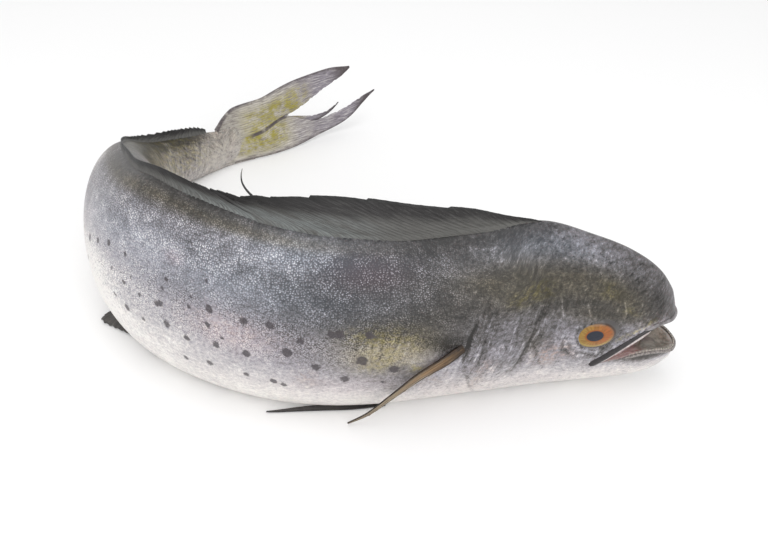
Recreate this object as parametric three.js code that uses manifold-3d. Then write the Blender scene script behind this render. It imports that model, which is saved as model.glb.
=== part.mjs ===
// A whole mahi-mahi, lying on its belly and curled into a C, with its mouth open.
// Millimetres, +Z up. The head points to +X, the right flank faces -Y, and the tail sweeps round behind.
// The origin is the middle of the fish seen from above, on the surface that it lies on.

import * as THREE from "three";
import { mergeVertices } from "three/addons/utils/BufferGeometryUtils.js";
import Module from "manifold-3d";

const wasm = await Module();
wasm.setup();

// Driving dimensions
const bodyLength = 552;
const snout = { x: 176.6, y: -144.8 };
const gap = 0.35;
const tailGap = 0.6;
const groundGap = 0.3;
const settle = 1.2;
const eye = { length: 26, height: 21.5, depth: 12, at: 0.091, up: 50, bulge: 1.6 };

// Profiles along the body: each row is a place, 0 at the snout and 1 at the tail base, and a value there.
// The heading is in degrees, turned from -X towards +Y, and the lean in degrees to the inside of the curl.
const heading = [
  [0, 5], [0.15, -9], [0.3, -6], [0.42, 18], [0.52, 37], [0.62, 66],
  [0.7, 74], [0.78, 83], [0.86, 106], [0.93, 132], [1, 139],
];
const lean = [[0, 3], [0.25, 1], [0.55, 8], [0.8, 4], [1, -11]];
const backHeight = [
  [0, 57], [0.02, 74], [0.05, 87], [0.09, 98], [0.14, 109], [0.2, 109], [0.28, 108],
  [0.4, 113], [0.54, 116], [0.63, 105], [0.72, 90], [0.81, 71], [0.9, 45], [1, 31],
];
const bellyHeight = [[0, 22], [0.02, 10], [0.05, 4], [0.12, 1.3], [0.2, 1], [0.28, 0], [0.35, 0], [1, 0]];
const halfWidth = [
  [0, 7], [0.012, 13.5], [0.03, 17.8], [0.08, 21.5], [0.15, 22.8], [0.25, 23.5],
  [0.4, 27], [0.55, 29], [0.7, 26.8], [0.85, 19.7], [1, 6.5],
];
// How pointed a section is towards the back and towards the belly, 1 being an ellipse
const backSharpness = 1.2;
const bellySharpness = 1.4;

// Rear edge of the gill cover: its place along the body at each share of the body's height
const gillEdge = [
  [0.05, 0.2], [0.12, 0.206], [0.37, 0.219], [0.5, 0.217], [0.63, 0.207], [0.72, 0.193], [0.8, 0.18],
];

// The cover stands proud of the flank: it rises before that edge and drops at it, and fades out
// towards the back. Sections between bendIn and bendOut follow the edge, so that the step is clean.
const gill = {
  lift: 1.8, rise: [-0.06, -0.004], drop: [-0.002, 0.004], fade: [0.66, 0.8],
  middle: 0.212, bendIn: [0.13, 0.2], bendOut: [0.225, 0.3], bendLow: [0, 0.05], bendHigh: [0.75, 0.95],
};

// The lower jaw reaches further forward than the snout
const chin = { reach: 3.5, along: [0, 0.06], share: [0.3, 0.5] };

// The open mouth: heights of the upper lip and of the lower jaw's rim, and the hollow between them
const upperLip = [[-0.02, 50], [0, 50], [0.026, 50.5], [0.056, 41.7], [0.088, 27.6]];
const lowerRim = [[-0.02, 28], [0, 29], [0.026, 33], [0.056, 30], [0.088, 25.6]];
const mouth = {
  start: -0.02, corner: 0.088, pastLips: 8, palateRise: 6, floorDrop: 8, throatHalfWidth: 11,
  scoopIn: [0.003, 0.014], scoopOut: [0.045, 0.075],
  cheekStart: 0.032, cheekEnd: 0.104, cheekThickness: 3.5,
};

// Dorsal fin: its height along the back, with a torn tip where the tall front part ends
const dorsalFin = {
  start: 0.14, end: 0.985, rootThickness: 2.2, edgeThickness: 1.1, wave: 0.06, wavesPerBody: 7.3,
};
const dorsalHeight = [
  [0.14, 1.5], [0.17, 6], [0.21, 13.5], [0.26, 19], [0.31, 22], [0.36, 20], [0.39, 16], [0.41, 14],
  [0.43, 10], [0.5, 7], [0.6, 6], [0.83, 4], [0.88, 6.5], [0.93, 7.5], [0.97, 6.5], [0.985, 4],
];

// Anal fin: folded flat on the surface along the outside of the belly line
const analFin = {
  start: 0.545, end: 0.93, innerThickness: 0.8, outerThickness: 1.1, lift: 0.45, outerLift: 0.4,
};
const analInner = [[0.545, 6.5], [0.85, 6.5], [0.93, 7]];
const analOuter = [
  [0.545, 9], [0.58, 12], [0.607, 15], [0.623, 17.5], [0.644, 22.5],
  [0.66, 17], [0.68, 14], [0.8, 12], [0.93, 9],
];

// Tail lobes: distances behind the tail base, and the heights of each lobe's lower and upper edge there
const upperLobe = {
  length: 122,
  low: [[0, 17.5], [18, 19.4], [38, 22.3], [60, 29.5], [74, 34], [93, 40], [110, 47], [122, 53]],
  high: [[0, 31], [7, 38.5], [16, 45], [41, 51], [74, 56], [101, 58], [122, 54.5]],
};
const lowerLobe = {
  length: 146,
  low: [[0, 1.6], [20, 1], [50, 1], [77, 2.5], [106, 7], [135, 19.5], [146, 27]],
  high: [
    [0, 16.9], [18, 18.8], [38, 21.7], [58, 27.5], [68, 25], [84, 18], [99, 19], [121, 21.5], [146, 28.2],
  ],
};
// Both lobes grow thick from the leaning stalk and stand upright past a short stretch, slightly rippled
const tail = {
  heading: 143, rootThickness: 8, rootLength: 30, thickness: 1.8, tipThinning: 0.4,
  upright: 60, sweep: -6, sweepTop: 70, ripple: 1.2, rippleLength: 13, rippleHeight: 6,
};

// Paired fins: place along the body, distance out from the midline, height, and the blade's half width
const pectoralFin = {
  rows: [
    [0.226, 19, 55, 6], [0.245, 25.2, 48, 6], [0.266, 25, 38, 5], [0.288, 23.5, 24, 3.6],
    [0.308, 21, 11, 2.4], [0.327, 18.5, 2, 1.2],
  ],
  thickness: 2,
  lowest: 1.8,
  across: { along: 0.62, out: 0.12, up: 0.78 },
};
const pelvicFin = {
  rows: [
    [0.29, 4.6, 1, 1.6], [0.32, 5, 1, 2], [0.35, 5.8, 1, 2], [0.375, 7.2, 1, 1.5], [0.402, 10.5, 1, 0.7],
  ],
  thickness: 1,
  lowest: 0.8,
  across: { along: 0.05, out: 1, up: 0.1 },
};
const tipThinning = 0.4;

// A smooth curve through a table of rows
function valueAt(rows, x) {
  const last = rows.length - 1;
  let i = 0;
  while (i < last - 1 && x >= rows[i + 1][0]) i += 1;
  const slope = (k) => {
    const a = rows[Math.max(k - 1, 0)];
    const b = rows[Math.min(k + 1, last)];
    return (b[1] - a[1]) / (b[0] - a[0]);
  };
  const [x0, y0] = rows[i];
  const [x1, y1] = rows[i + 1];
  const step = x1 - x0;
  const t = THREE.MathUtils.clamp((x - x0) / step, 0, 1);
  return y0 * (1 + 2 * t) * (1 - t) ** 2 + slope(i) * step * t * (1 - t) ** 2
    + y1 * t * t * (3 - 2 * t) + slope(i + 1) * step * t * t * (t - 1);
}

// From 0 to 1 as x passes through a span
function ease(x, [from, to]) {
  return THREE.MathUtils.smoothstep(x, from, to);
}

// The midline seen from above, added up in small steps from the snout
const midlineSteps = 440;
function traceMidline() {
  const points = [{ ...snout }];
  const step = bodyLength / midlineSteps;
  const direction = (i) => THREE.MathUtils.degToRad(valueAt(heading, i / midlineSteps));
  for (let i = 1; i <= midlineSteps; i += 1) {
    const a = direction(i - 1);
    const b = direction(i);
    const before = points[i - 1];
    points.push({
      x: before.x - step * (Math.cos(a) + Math.cos(b)) / 2,
      y: before.y + step * (Math.sin(a) + Math.sin(b)) / 2,
    });
  }
  return points;
}
const midline = traceMidline();

// A point of the midline with the direction towards the tail; past either end it runs on straight
function midlineAt(u) {
  const inside = THREE.MathUtils.clamp(u, 0, 1);
  const at = Math.min(inside * midlineSteps, midlineSteps - 1e-9);
  const i = Math.floor(at);
  const turn = THREE.MathUtils.degToRad(valueAt(heading, inside));
  const along = { x: -Math.cos(turn), y: Math.sin(turn) };
  const past = (u - inside) * bodyLength;
  return {
    x: THREE.MathUtils.lerp(midline[i].x, midline[i + 1].x, at - i) + along.x * past,
    y: THREE.MathUtils.lerp(midline[i].y, midline[i + 1].y, at - i) + along.y * past,
    along,
  };
}

// A point beside the midline: out is towards the right flank, up is from the surface the fish lies on
function upright(u, out, up) {
  const { x, y, along } = midlineAt(u);
  return new THREE.Vector3(x - along.y * out, y + along.x * out, up);
}

// The same, with the section's lean about the belly line, and sunk a little as the soft belly settles flat
function place(u, out, up) {
  const tilt = THREE.MathUtils.degToRad(valueAt(lean, THREE.MathUtils.clamp(u, 0, 1)));
  const [sin, cos] = [Math.sin(tilt), Math.cos(tilt)];
  return upright(u, out * cos - up * sin, out * sin + up * cos - settle);
}

// How far the gill cover stands proud of the flank behind it
function gillCover(u, share) {
  const behind = u - valueAt(gillEdge, share);
  return gill.lift * ease(behind, gill.rise) * (1 - ease(behind, gill.drop)) * (1 - ease(share, gill.fade));
}

function bendToGillEdge(u, share) {
  const near = ease(u, gill.bendIn) * (1 - ease(u, gill.bendOut));
  const side = ease(share, gill.bendLow) * (1 - ease(share, gill.bendHigh));
  return u + (valueAt(gillEdge, share) - gill.middle) * near * side;
}

// A point of the body's skin at an angle round its section, moved out by grow
function skin(section, angle, grow) {
  const across = Math.cos(angle);
  const share = (1 + Math.sin(angle)) / 2;
  const u = bendToGillEdge(section, share);
  const top = valueAt(backHeight, u);
  const bottom = valueAt(bellyHeight, u);
  const sharpness = angle > 0 ? backSharpness : bellySharpness;
  const width = valueAt(halfWidth, u) + gillCover(u, share) + grow;
  const out = width * Math.sign(across) * Math.abs(across) ** sharpness;
  const forward = chin.reach / bodyLength * (1 - ease(u, chin.along)) * (1 - ease(share, chin.share));
  const point = place(u - forward, out, (top + bottom) / 2 + ((top - bottom) / 2 + grow) * Math.sin(angle));
  point.z = Math.max(point.z, -Math.max(grow, 0));
  return point;
}

// Triangles are turned so that the closed surface faces out
function faceOut(points, triangles) {
  let volume = 0;
  const normal = new THREE.Vector3();
  for (const [a, b, c] of triangles) {
    volume += normal.crossVectors(points[b], points[c]).dot(points[a]);
  }
  return volume > 0 ? triangles : triangles.map(([a, b, c]) => [a, c, b]);
}

function closedGeometry(points, triangles) {
  const geometry = new THREE.BufferGeometry();
  const numbers = points.flatMap((point) => point.toArray());
  geometry.setAttribute("position", new THREE.Float32BufferAttribute(numbers, 3));
  geometry.setIndex(faceOut(points, triangles).flat());
  return geometry;
}

// A closed surface through rings of points, with a fan over each end
function loft(rings) {
  const count = rings[0].length;
  const points = rings.flat();
  const triangles = [];
  for (let r = 0; r + 1 < rings.length; r += 1) {
    for (let k = 0; k < count; k += 1) {
      const a = r * count + k;
      const b = r * count + (k + 1) % count;
      triangles.push([a, b, b + count], [a, b + count, a + count]);
    }
  }
  for (const end of [0, rings.length - 1]) {
    const middle = new THREE.Vector3();
    rings[end].forEach((p) => middle.addScaledVector(p, 1 / count));
    points.push(middle);
    for (let k = 0; k < count; k += 1) {
      const pair = [end * count + k, end * count + (k + 1) % count];
      if (end === 0) pair.reverse();
      triangles.push([points.length - 1, ...pair]);
    }
  }
  return closedGeometry(points, triangles);
}

// A thin wavy solid: a grid of middle points, moved to both sides by half the thickness there
function blade(rows, columns, middle, thickness) {
  const points = [];
  const triangles = [];
  const small = 0.01;
  for (const side of [1, -1]) {
    for (let i = 0; i <= rows; i += 1) {
      for (let j = 0; j <= columns; j += 1) {
        const s = i / rows;
        const v = j / columns;
        const centre = middle(s, v);
        const alongRows = middle(Math.min(s + small, 1), v).sub(middle(Math.max(s - small, 0), v));
        const acrossRows = middle(s, Math.min(v + small, 1)).sub(middle(s, Math.max(v - small, 0)));
        const normal = alongRows.cross(acrossRows).normalize();
        points.push(centre.addScaledVector(normal, side * thickness(s, v) / 2));
      }
    }
  }
  const index = (face, i, j) => face * (rows + 1) * (columns + 1) + i * (columns + 1) + j;
  for (let i = 0; i < rows; i += 1) {
    for (let j = 0; j < columns; j += 1) {
      const top = [index(0, i, j), index(0, i + 1, j), index(0, i + 1, j + 1), index(0, i, j + 1)];
      const bottom = [index(1, i, j), index(1, i + 1, j), index(1, i + 1, j + 1), index(1, i, j + 1)];
      triangles.push([top[0], top[1], top[2]], [top[0], top[2], top[3]]);
      triangles.push([bottom[0], bottom[2], bottom[1]], [bottom[0], bottom[3], bottom[2]]);
    }
  }
  const rim = [];
  for (let i = 0; i < rows; i += 1) rim.push([i, 0]);
  for (let j = 0; j < columns; j += 1) rim.push([rows, j]);
  for (let i = rows; i > 0; i -= 1) rim.push([i, columns]);
  for (let j = columns; j > 0; j -= 1) rim.push([0, j]);
  rim.forEach(([i, j], k) => {
    const [ni, nj] = rim[(k + 1) % rim.length];
    const [a, b, c, d] = [index(0, i, j), index(0, ni, nj), index(1, ni, nj), index(1, i, j)];
    triangles.push([a, d, c], [a, c, b]);
  });
  return closedGeometry(points, triangles);
}

// Boolean cuts and joins
function toSolid(geometry) {
  return new wasm.Manifold(new wasm.Mesh({
    numProp: 3,
    vertProperties: new Float32Array(geometry.attributes.position.array),
    triVerts: new Uint32Array(geometry.index.array),
  }));
}

function toGeometry(solid) {
  const cut = solid.getMesh();
  const geometry = new THREE.BufferGeometry();
  geometry.setAttribute("position", new THREE.BufferAttribute(new Float32Array(cut.vertProperties), 3));
  geometry.setIndex(new THREE.BufferAttribute(new Uint32Array(cut.triVerts), 1));
  return geometry;
}

// Places of the body's sections: closer on the head, at the gill cover's edge and round the bend
function sectionPlaces() {
  const spans = [
    [0, 0.03, 5], [0.03, 0.12, 8], [0.12, 0.19, 5], [0.19, 0.206, 3], [0.206, 0.218, 6],
    [0.218, 0.45, 13], [0.45, 0.86, 27], [0.86, 1, 10],
  ];
  const places = [0];
  for (const [from, to, count] of spans) {
    for (let i = 1; i <= count; i += 1) places.push(from + (to - from) * i / count);
  }
  return places;
}

const girthCount = 32;
function bodyRings(places, grow) {
  return places.map((u) => Array.from({ length: girthCount }, (_, k) => (
    skin(u, Math.PI * (2 * k / girthCount - 1), grow)
  )));
}

// One slice of the open mouth, from side to side, arched over the palate and scooped between the jaw's rims
function mouthRing(u) {
  const reach = valueAt(halfWidth, Math.max(u, 0)) + mouth.pastLips;
  const scoop = ease(u, mouth.scoopIn) * (1 - ease(u, mouth.scoopOut));
  const steps = 12;
  const hollow = (out) => Math.max(0, 1 - (out / mouth.throatHalfWidth) ** 2) * scoop;
  const outs = Array.from({ length: steps + 1 }, (_, k) => reach * (2 * k / steps - 1));
  const above = outs.map((out) => place(u, out, valueAt(upperLip, u) + mouth.palateRise * hollow(out)));
  const below = outs.map((out) => place(u, out, valueAt(lowerRim, u) - mouth.floorDrop * hollow(out)));
  return [...above, ...below.reverse()];
}

// The open mouth: a wedge through both jaws, only a shallow step over the cheek membrane behind them
function makeMouth() {
  const between = (from, to, steps) =>
    Array.from({ length: steps + 1 }, (_, i) => from + (to - from) * i / steps);
  const wedge = loft(between(mouth.start, mouth.corner, 16).map(mouthRing));
  const cheeks = loft(bodyRings(between(mouth.cheekStart, mouth.cheekEnd, 6), -mouth.cheekThickness));
  return toSolid(wedge).subtract(toSolid(cheeks));
}

// An eye: a flattened ball whose axis points out of the cheek
function makeEye(side, grow) {
  const ball = new THREE.SphereGeometry(1, 18, 10);
  ball.deleteAttribute("normal");
  ball.deleteAttribute("uv");
  const geometry = mergeVertices(ball, 1e-5);
  const cheek = valueAt(halfWidth, eye.at) + eye.bulge - eye.depth / 2;
  const centre = place(eye.at, side * cheek, eye.up);
  const outward = place(eye.at, side, eye.up).sub(place(eye.at, 0, eye.up)).normalize();
  const up = place(eye.at, 0, eye.up + 1).sub(place(eye.at, 0, eye.up)).normalize();
  const along = new THREE.Vector3().crossVectors(outward, up);
  const frame = new THREE.Matrix4().makeBasis(
    along.multiplyScalar(eye.length / 2 + grow),
    up.multiplyScalar(eye.height / 2 + grow),
    outward.multiplyScalar(eye.depth / 2 + grow),
  ).setPosition(centre);
  const position = geometry.applyMatrix4(frame).attributes.position;
  const pointAt = (_, i) => new THREE.Vector3().fromBufferAttribute(position, i);
  const points = Array.from({ length: position.count }, pointAt);
  const corners = geometry.index.array;
  const triangleAt = (_, i) => [...corners.slice(3 * i, 3 * i + 3)];
  const triangles = Array.from({ length: corners.length / 3 }, triangleAt);
  return closedGeometry(points, triangles);
}

function makeBody() {
  let solid = toSolid(loft(bodyRings(sectionPlaces(), 0)));
  solid = solid.subtract(makeMouth());
  for (const side of [1, -1]) solid = solid.subtract(toSolid(makeEye(side, gap)));
  return toGeometry(solid);
}

function makeDorsalFin() {
  const places = sectionPlaces().filter((u) => u >= dorsalFin.start && u <= dorsalFin.end);
  const rows = places.length - 1;
  const middle = (s, v) => {
    const at = s * rows;
    const i = Math.min(Math.floor(at), rows - 1);
    const u = THREE.MathUtils.lerp(places[i], places[i + 1], at - i);
    const height = valueAt(dorsalHeight, u) * v;
    const wave = dorsalFin.wave * height * Math.sin(2 * Math.PI * dorsalFin.wavesPerBody * u);
    return place(u, wave, valueAt(backHeight, u) + gap + height);
  };
  const { rootThickness, edgeThickness } = dorsalFin;
  return blade(rows, 3, middle, (s, v) => THREE.MathUtils.lerp(rootThickness, edgeThickness, v));
}

function makeAnalFin() {
  const middle = (s, v) => {
    const u = THREE.MathUtils.lerp(analFin.start, analFin.end, s);
    const out = THREE.MathUtils.lerp(valueAt(analInner, u), valueAt(analOuter, u), v);
    return upright(u, out, groundGap + analFin.lift + analFin.outerLift * v);
  };
  const { innerThickness, outerThickness } = analFin;
  return blade(30, 3, middle, (s, v) => THREE.MathUtils.lerp(innerThickness, outerThickness, v));
}

// A tail lobe: a tall thin blade behind the tail base, thick where it grows from the stalk
function makeLobe(lobe) {
  const end = midlineAt(1);
  const turn = THREE.MathUtils.degToRad(tail.heading);
  const along = { x: -Math.cos(turn), y: Math.sin(turn) };
  const tilt = -Math.sin(THREE.MathUtils.degToRad(valueAt(lean, 1)));
  const middle = (s, v) => {
    const behind = lobe.length * s;
    const up = THREE.MathUtils.lerp(valueAt(lobe.low, behind), valueAt(lobe.high, behind), v);
    const straight = ease(behind, [0, tail.upright]);
    const ripple = tail.ripple * Math.sin(behind / tail.rippleLength + up / tail.rippleHeight);
    const out = up * tilt * (1 - straight) + (tail.sweep * (1 - up / tail.sweepTop) + ripple) * straight;
    return new THREE.Vector3(
      end.x + along.x * (tailGap + behind) - along.y * out,
      end.y + along.y * (tailGap + behind) + along.x * out,
      up,
    );
  };
  const thickness = (s) => {
    const root = Math.max(0, 1 - s * lobe.length / tail.rootLength) ** 1.5;
    return tail.thickness * (1 - tail.tipThinning * s) + (tail.rootThickness - tail.thickness) * root;
  };
  return blade(24, 5, middle, thickness);
}

// A narrow blade along a row of points beside the body, on the right side or mirrored to the left
function makePairedFin(fin, side) {
  const column = (k) => fin.rows.map((row, i) => [i / (fin.rows.length - 1), row[k]]);
  const [at, outs, ups, halves] = [0, 1, 2, 3].map(column);
  const middle = (s, v) => {
    const shift = (2 * v - 1) * valueAt(halves, s);
    const out = valueAt(outs, s) + shift * fin.across.out;
    const up = valueAt(ups, s) + shift * fin.across.up;
    const point = place(valueAt(at, s) + shift * fin.across.along / bodyLength, side * out, up);
    point.z = Math.max(point.z, fin.lowest);
    return point;
  };
  const whole = blade(16, 3, middle, (s) => fin.thickness * (1 - tipThinning * s));
  return toGeometry(toSolid(whole).subtract(bodyWithGap));
}

// The paired fins stop a gap short of the skin
const bodyWithGap = toSolid(loft(bodyRings(sectionPlaces(), gap)));

const finishes = {
  skin: { color: 0x85848a, roughness: 0.4 },
  eye: { color: 0xd08a1c, roughness: 0.15 },
  darkFin: { color: 0x33352f, roughness: 0.5 },
  blackFin: { color: 0x1e1d1c, roughness: 0.5 },
  brownFin: { color: 0x7d664a, roughness: 0.5 },
  tail: { color: 0x9b9a72, roughness: 0.5 },
};

function piece(name, geometry, finish) {
  const shown = geometry.clone();
  shown.computeVertexNormals();
  const mesh = new THREE.Mesh(shown, new THREE.MeshStandardMaterial({ ...finish, metalness: 0 }));
  mesh.name = name;
  return mesh;
}

const fish = new THREE.Group();
fish.add(
  piece("body", makeBody(), finishes.skin),
  piece("dorsal_fin", makeDorsalFin(), finishes.darkFin),
  piece("anal_fin", makeAnalFin(), finishes.darkFin),
  piece("tail_lobe_upper", makeLobe(upperLobe), finishes.tail),
  piece("tail_lobe_lower", makeLobe(lowerLobe), finishes.tail),
);
for (const [hand, side] of [["right", 1], ["left", -1]]) {
  fish.add(
    piece(`eye_${hand}`, makeEye(side, 0), finishes.eye),
    piece(`pectoral_fin_${hand}`, makePairedFin(pectoralFin, side), finishes.brownFin),
    piece(`pelvic_fin_${hand}`, makePairedFin(pelvicFin, side), finishes.blackFin),
  );
}

export default fish;
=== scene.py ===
import math

import bmesh
import bpy
import numpy as np
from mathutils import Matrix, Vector, kdtree


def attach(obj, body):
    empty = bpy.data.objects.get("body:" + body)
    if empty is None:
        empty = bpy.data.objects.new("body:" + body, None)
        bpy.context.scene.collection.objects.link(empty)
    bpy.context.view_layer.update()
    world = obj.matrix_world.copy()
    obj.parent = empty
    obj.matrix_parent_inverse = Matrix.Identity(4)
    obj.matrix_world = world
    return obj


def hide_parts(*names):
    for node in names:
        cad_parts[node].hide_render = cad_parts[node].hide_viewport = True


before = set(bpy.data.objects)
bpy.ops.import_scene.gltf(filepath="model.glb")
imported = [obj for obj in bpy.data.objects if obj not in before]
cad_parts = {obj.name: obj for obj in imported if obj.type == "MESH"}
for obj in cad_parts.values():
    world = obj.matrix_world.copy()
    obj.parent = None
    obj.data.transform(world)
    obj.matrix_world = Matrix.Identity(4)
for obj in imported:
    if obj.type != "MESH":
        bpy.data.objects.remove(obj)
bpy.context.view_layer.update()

# The fish's own dimensions in millimetres, the same as its solids have
MM = 0.001
BODY_LENGTH = 552
SNOUT = (176.6, -144.8)
SETTLE = 1.2
GROUND_GAP = 0.3
HEADING = [(0, 5), (.15, -9), (.3, -6), (.42, 18), (.52, 37), (.62, 66),
           (.7, 74), (.78, 83), (.86, 106), (.93, 132), (1, 139)]
LEAN = [(0, 3), (.25, 1), (.55, 8), (.8, 4), (1, -11)]
BACK = [(0, 57), (.02, 74), (.05, 87), (.09, 98), (.14, 109), (.2, 109), (.28, 108),
        (.4, 113), (.54, 116), (.63, 105), (.72, 90), (.81, 71), (.9, 45), (1, 31)]
BELLY = [(0, 22), (.02, 10), (.05, 4), (.12, 1.3), (.2, 1), (.28, 0), (.35, 0), (1, 0)]
HALF_WIDTH = [(0, 7), (.012, 13.5), (.03, 17.8), (.08, 21.5), (.15, 22.8), (.25, 23.5),
              (.4, 27), (.55, 29), (.7, 26.8), (.85, 19.7), (1, 6.5)]
BACK_SHARPNESS = 1.2
BELLY_SHARPNESS = 1.4
# The round skin keeps within the flat facets of the solid
FACET_INSET = .99

GILL_EDGE = [(.05, .2), (.12, .206), (.37, .219), (.5, .217), (.63, .207), (.72, .193), (.8, .18)]
GILL_MIDDLE = .212
GILL_LIFT = 1.8
GILL_RISE = (-.06, -.004)
GILL_DROP = (-.002, .003)
GILL_FADE = (.66, .8)
# Sections near the gill cover follow its edge, so that its step is clean
GILL_BEND_IN = (.13, .2)
GILL_BEND_OUT = (.225, .3)
GILL_BEND_LOW = (0, .05)
GILL_BEND_HIGH = (.75, .95)

# Lines of the head, as places along the body and shares of its height there
FLANK_HEIGHT = 112
CHEEK_FOLD = [(.143, .72), (.148, .62), (.152, .55), (.156, .47), (.163, .36), (.171, .25),
              (.174, .16)]
CHEEK_RIDGE = [(.136, .7), (.142, .6), (.146, .5), (.152, .38), (.158, .26)]
CHEEK_BRANCH = [(.156, .47), (.15, .38), (.143, .29), (.138, .24)]
COVER_GROOVE = [(.196, .66), (.203, .56), (.205, .48), (.203, .4)]
LIP_RIDGE = [(.012, .72), (.03, .62), (.052, .5), (.068, .41), (.084, .345)]
UNDER_EYE = [(.07, .4), (.085, .355), (.105, .34), (.118, .39), (.122, .46)]
LIP_STREAK = [(.026, .67), (.038, .6), (.05, .53), (.066, .47)]
# Folds of the head that stand out or lie in: the line, its half width and its height
HEAD_FOLDS = [(CHEEK_RIDGE, 5, .55), (CHEEK_FOLD, 2.2, -.8), (CHEEK_BRANCH, 2, -.5),
              (COVER_GROOVE, 3, -.6), (LIP_RIDGE, 4, .5), (UNDER_EYE, 2.4, -.5)]
EYE_CENTRE = (.0905, .486)
EYE_REACH = (.0203, .089)

UPPER_LIP = [(-.02, 50), (0, 50), (.026, 50.5), (.056, 41.7), (.088, 27.6)]
LOWER_RIM = [(-.02, 28), (0, 29), (.026, 33), (.056, 30), (.088, 25.6)]
MOUTH_START = -.02
MOUTH_CORNER = .088
CHEEK_START = .032
CHEEK_END = .104
CHEEK_THICKNESS = 3.5
# The lower jaw reaches further forward than the snout
JAW_REACH = 3.5
JAW_ALONG = (0, .06)
JAW_SHARE = (.3, .5)
EYE_AT = .091
EYE_UP = 50
EYE_SIZE = (31, 22.5, 12)
EYE_BULGE = 1.9

# The snout's and the jaw's tips are rounded from here forward
NOSE_START = .007
NOSE_REACH = 4.2
# The skin's pattern is drawn out over the rounded tip by this much, so that it doesn't smear there
NOSE_SPREAD = 20

# The stalk narrows into the root of the tail fin
ROOT_START = -4
ROOT_REACH = 27
ROOT_NARROWING = .97
ROOT_RISE = [(0, 0), (7, 5), (18, 10), (27, 13)]
TAIL_HEADING = math.radians(143)
TAIL_UPRIGHT = 40
TAIL_SWEEP = -6
TAIL_SWEEP_TOP = 70
TAIL_RIPPLE = 1.2


def value_at(rows, x):
    """A smooth curve through a table of rows, at one place or at many."""
    table = np.array(rows, float)
    at, values = table[:, 0], table[:, 1]
    last = len(rows) - 1
    x = np.asarray(x, float)
    low = np.maximum(np.arange(last + 1) - 1, 0)
    high = np.minimum(np.arange(last + 1) + 1, last)
    slope = (values[high] - values[low]) / (at[high] - at[low])
    i = np.clip(np.searchsorted(at, x, side="right") - 1, 0, last - 1)
    step = at[i + 1] - at[i]
    t = np.clip((x - at[i]) / step, 0, 1)
    return (values[i] * (1 + 2 * t) * (1 - t) ** 2 + slope[i] * step * t * (1 - t) ** 2
            + values[i + 1] * t * t * (3 - 2 * t) + slope[i + 1] * step * t * t * (t - 1))


def ease(x, low, high):
    """From 0 to 1 as x passes from low to high."""
    t = np.clip((np.asarray(x, float) - low) / (high - low), 0, 1)
    return t * t * (3 - 2 * t)


def lerp(a, b, t):
    return a + (b - a) * t


def blob(u, share, at, size):
    """1 at a place of the skin, fading to 0 around it."""
    return np.exp(-((u - at[0]) / size[0]) ** 2 - ((share - at[1]) / size[1]) ** 2)


def span(x, low, high, soft):
    """1 between low and high, softening outside by soft."""
    return ease(x, low - soft, low + soft) * (1 - ease(x, high - soft, high + soft))


# The midline, seen from above
MIDLINE_STEPS = 440
turns = np.radians(value_at(HEADING, np.arange(MIDLINE_STEPS + 1) / MIDLINE_STEPS))
strides = BODY_LENGTH / MIDLINE_STEPS * np.stack([-np.cos(turns), np.sin(turns)], -1)
midline = np.array(SNOUT) + np.vstack([[0, 0], np.cumsum((strides[1:] + strides[:-1]) / 2, axis=0)])


def midline_at(u):
    """The midline's x and y at u, and its direction towards the tail."""
    u = np.asarray(u, float)
    inside = np.clip(u, 0, 1)
    at = np.minimum(inside * MIDLINE_STEPS, MIDLINE_STEPS - 1e-9)
    i = at.astype(int)
    share = (at - i)[..., None]
    turn = np.radians(value_at(HEADING, inside))
    along = np.stack([-np.cos(turn), np.sin(turn)], -1)
    past = ((u - inside) * BODY_LENGTH)[..., None]
    return midline[i] * (1 - share) + midline[i + 1] * share + along * past, along


def upright(u, out, up):
    """A point beside the midline: out towards the right flank, and up from the surface underneath."""
    point, along = midline_at(u)
    x = point[..., 0] - along[..., 1] * out
    y = point[..., 1] + along[..., 0] * out
    return np.stack(np.broadcast_arrays(x, y, np.asarray(up, float)), -1)


def place(u, out, up):
    """The same with the section's lean, sunk a little as the soft belly settles flat."""
    tilt = np.radians(value_at(LEAN, np.clip(u, 0, 1)))
    sin, cos = np.sin(tilt), np.cos(tilt)
    return upright(u, out * cos - up * sin, out * sin + up * cos - SETTLE)


def tail_bend(behind, up):
    """How far out from its base line the tail fin's middle surface is."""
    lean = -math.sin(math.radians(LEAN[-1][1]))
    straight = ease(behind, 0, TAIL_UPRIGHT)
    ripple = TAIL_RIPPLE * np.sin(behind / 13 + up / 6)
    return up * lean * (1 - straight) + (TAIL_SWEEP * (1 - up / TAIL_SWEEP_TOP) + ripple) * straight


def gill_cover(u, share):
    """How far the gill cover stands proud of the flank behind it."""
    behind = u - value_at(GILL_EDGE, share)
    proud = GILL_LIFT * ease(behind, *GILL_RISE) * (1 - ease(behind, *GILL_DROP))
    return proud * (1 - ease(share, *GILL_FADE))


def bend_to_gill_edge(u, share):
    """Where a section's point is along the body, once the sections near the gill follow its edge."""
    near = ease(u, *GILL_BEND_IN) * (1 - ease(u, *GILL_BEND_OUT))
    side = ease(share, *GILL_BEND_LOW) * (1 - ease(share, *GILL_BEND_HIGH))
    return u + (value_at(GILL_EDGE, share) - GILL_MIDDLE) * near * side


def stroke(u, share, path, width):
    """1 along a line over the skin, given by places and shares of the height, and 0 from its width on."""
    along = u * BODY_LENGTH
    up = share * FLANK_HEIGHT
    nearest = np.full(np.shape(u), 1e9)
    for (u0, s0), (u1, s1) in zip(path, path[1:]):
        ax, ay = u0 * BODY_LENGTH, s0 * FLANK_HEIGHT
        bx, by = u1 * BODY_LENGTH - ax, s1 * FLANK_HEIGHT - ay
        t = np.clip(((along - ax) * bx + (up - ay) * by) / (bx * bx + by * by), 0, 1)
        nearest = np.minimum(nearest, np.hypot(along - ax - t * bx, up - ay - t * by))
    return 1 - ease(nearest, 0, width)


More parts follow.
